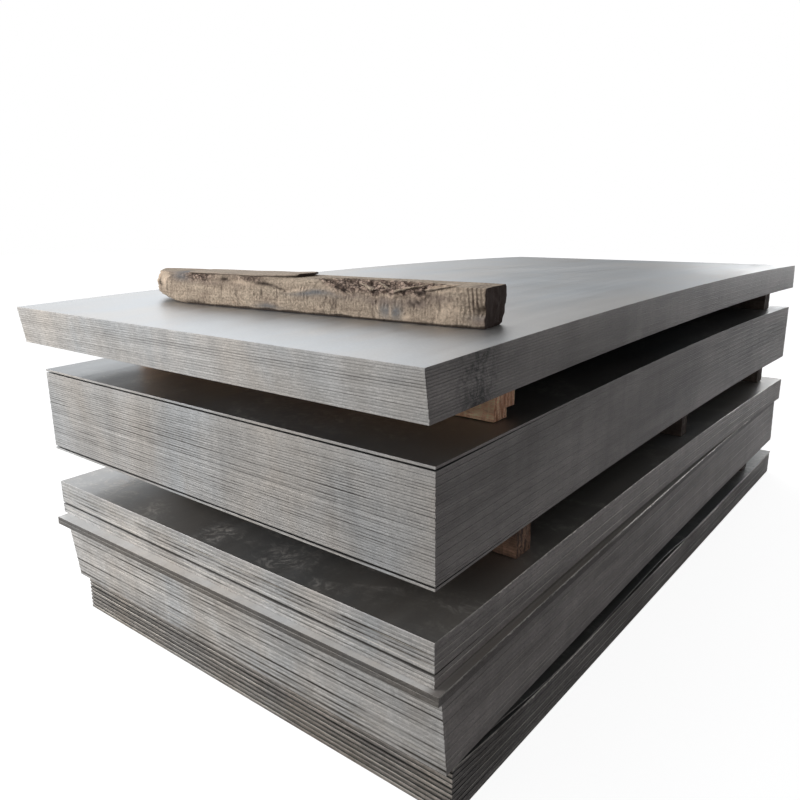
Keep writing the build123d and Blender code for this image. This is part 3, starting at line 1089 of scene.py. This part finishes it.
def add_camera():
    """The camera at the photograph's place and angle."""
    data = bpy.data.cameras.new("camera")
    data.lens = camera_lens
    data.clip_end = camera_reach
    camera = add_object("camera", data)
    camera.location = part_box("second_pack_plates")[0] + camera_offset
    turn = Euler((radians(90 - camera_tilt), 0, radians(camera_heading - 90)))
    camera.rotation_euler = (turn.to_matrix() @ Euler((0, 0, radians(camera_roll))).to_matrix()).to_euler()
    bpy.context.scene.camera = camera
    bpy.context.scene.view_settings.view_transform = "Standard"


clean = [steel_face("clean_face", level=0.44, dust=0.3, rough=0.38),
         steel_edge("clean_edge", seed=1, level=0.475, side_level=0.265, lines=0.22, dirt=0.06, seams=0.6,
                    calm_above=12.0, scuffed=scuff_place)]
# The second pack's face is half as pale as the top pack's: painted shade for its top, which lies in the gap
# under the top pack
second = [steel_face("second_face", level=0.22, dust=0.5, rough=0.38),
          steel_edge("second_edge", seed=2, level=0.475, side_level=0.30, lines=0.30, dirt=0.08, seams=1.1,
                     seam_width=0.2, calm_above=33.0)]
dusty = [steel_face("dusty_face", level=0.28, dust=1.0, rough=0.42, metallic=0.7, warmth=0.04, wiped=smeared),
         steel_edge("dusty_edge", seed=3, level=0.56, side_level=0.40, lines=0.40, dirt=0.14, seams=1.8,
                    seam_width=0.27, glints=0.8, crown=9.0)]
dull = [steel_face("dull_face", level=0.30, dust=0.9, rough=0.42),
        steel_edge("dull_edge", seed=4, level=0.60, side_level=0.41, lines=0.40, dirt=0.14, seams=1.6,
                   seam_width=0.27, glints=0.5)]
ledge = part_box("third_pack_plates")[0].y
pair = [steel_face("pair_face", level=0.66, dust=0.6, rough=0.60, metallic=0.2, warmth=0.03, darker_below=ledge),
        steel_edge("pair_edge", seed=5, level=0.17, side_level=0.22, lines=0.40, dirt=0.3, seams=0.9,
                   warmth=0.10, crown=1.0)]
dirty = [steel_face("dirty_face", level=0.20, dust=0.7, rough=0.48),
         steel_edge("dirty_edge", seed=6, level=0.27, side_level=0.24, lines=0.8, dirt=0.5, seams=1.0,
                    glints=0.8, warmth=0.10, crown=8.9)]

dress_plates("top_pack_plates", clean)
dress_plates("second_pack_plates", second)
dress_plates("third_pack_plates", dusty)
dress_plates("shifted_pair_of_plates", pair)
dress_plates("fourth_pack_plates", dull)
dress_plates("bottom_pack_plates", dirty)
dress_plates("loose_sheet", dirty)

fresh = sawn_wood("fresh_wood", tan_light, tan_dark, red_stain, stained=0.6, pith=(1.15, 0, -0.84))
old_brown = sawn_wood("brown_wood", brown_light, brown_dark, black_stain, stained=0.7, pith=(1.1, 0, -0.45))
shaded_old_grey = sawn_wood("grey_wood", dull_light, dull_dark, black_stain, stained=0.7, pith=(-1.4, 0, -0.80))
dress_timber("front_spacer", fresh, seed=11.0, ragged=0.004)
dress_timber("back_spacer", shaded_old_grey, seed=12.0, ragged=0.004)
dress_timber("narrow_front_spacer", old_brown, seed=13.0, ragged=0.014)
dress_timber("narrow_middle_spacer", shaded_old_grey, seed=14.0, ragged=0.008)
dress_timber("narrow_back_spacer", shaded_old_grey, seed=15.0, ragged=0.004)
dress_timber("bottom_spacer", shaded_old_grey, seed=16.0, ragged=0.004)
old_timber(weathered_wood("weathered_wood"))

lay_floor()
light_world()
add_lamp()
add_camera()
